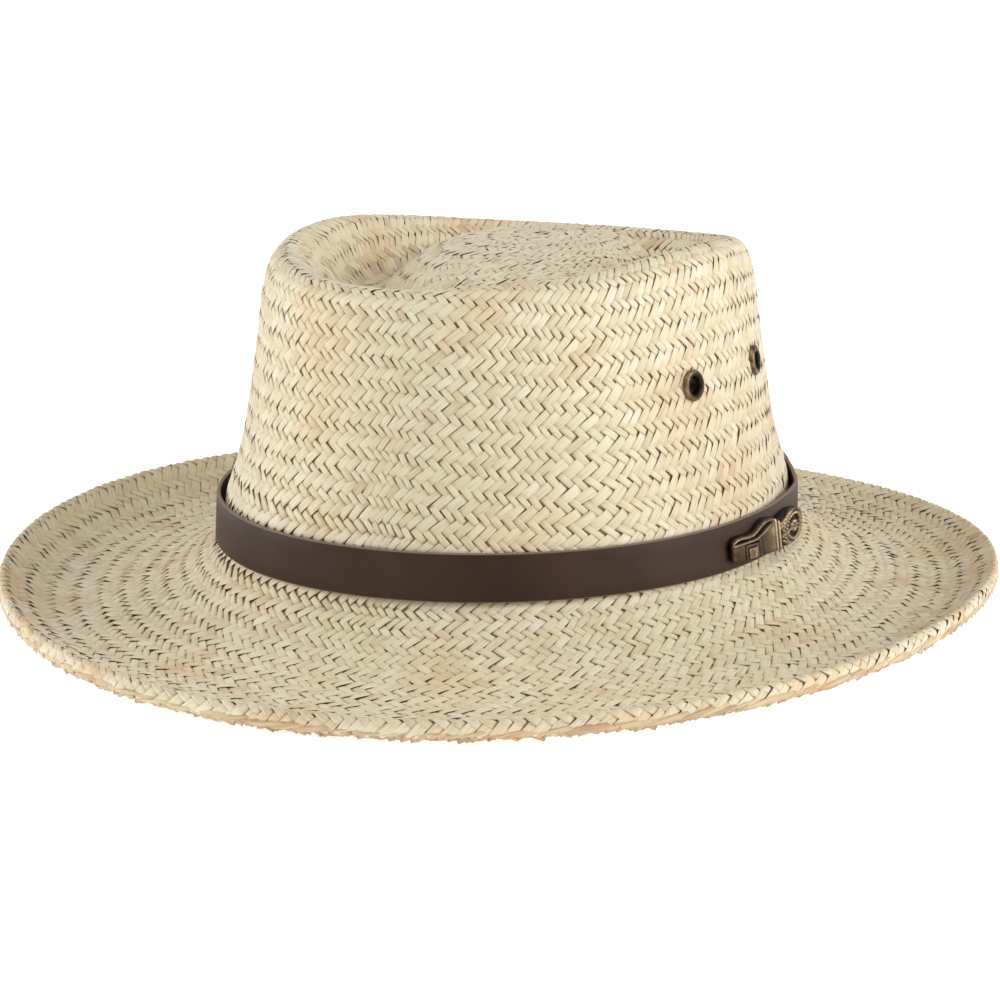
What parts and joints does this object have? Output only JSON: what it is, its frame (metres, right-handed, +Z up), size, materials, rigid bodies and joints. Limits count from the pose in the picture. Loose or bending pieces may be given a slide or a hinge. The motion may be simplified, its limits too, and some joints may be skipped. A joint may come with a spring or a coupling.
{
  "type": "gambler hat",
  "caption": "Woven palm-straw gambler hat with an oval telescope crown, a curled brim, a leather band with a cast ornament and brass vent eyelets.",
  "frame": {"origin": "under the middle of the brim, on the surface that the hat rests on", "axes": "+Z up, -Y toward the front of the hat, +X toward the wearer's left"},
  "size_m": [0.297, 0.3108, 0.1065],
  "materials": {
    "straw": "woven palm straw, matt with a slight sheen",
    "band": "smooth dark brown, satin",
    "bronze": "antique bronze, cast",
    "eyelet": "antique brass, pressed"
  },
  "bodies": {
    "root": {"straw_body": "straw", "hat_band": "band", "band_ornament": "bronze", "eyelet_left_front": "eyelet", "eyelet_left_rear": "eyelet", "eyelet_right_front": "eyelet", "eyelet_right_rear": "eyelet"}
  },
  "joints": []
}
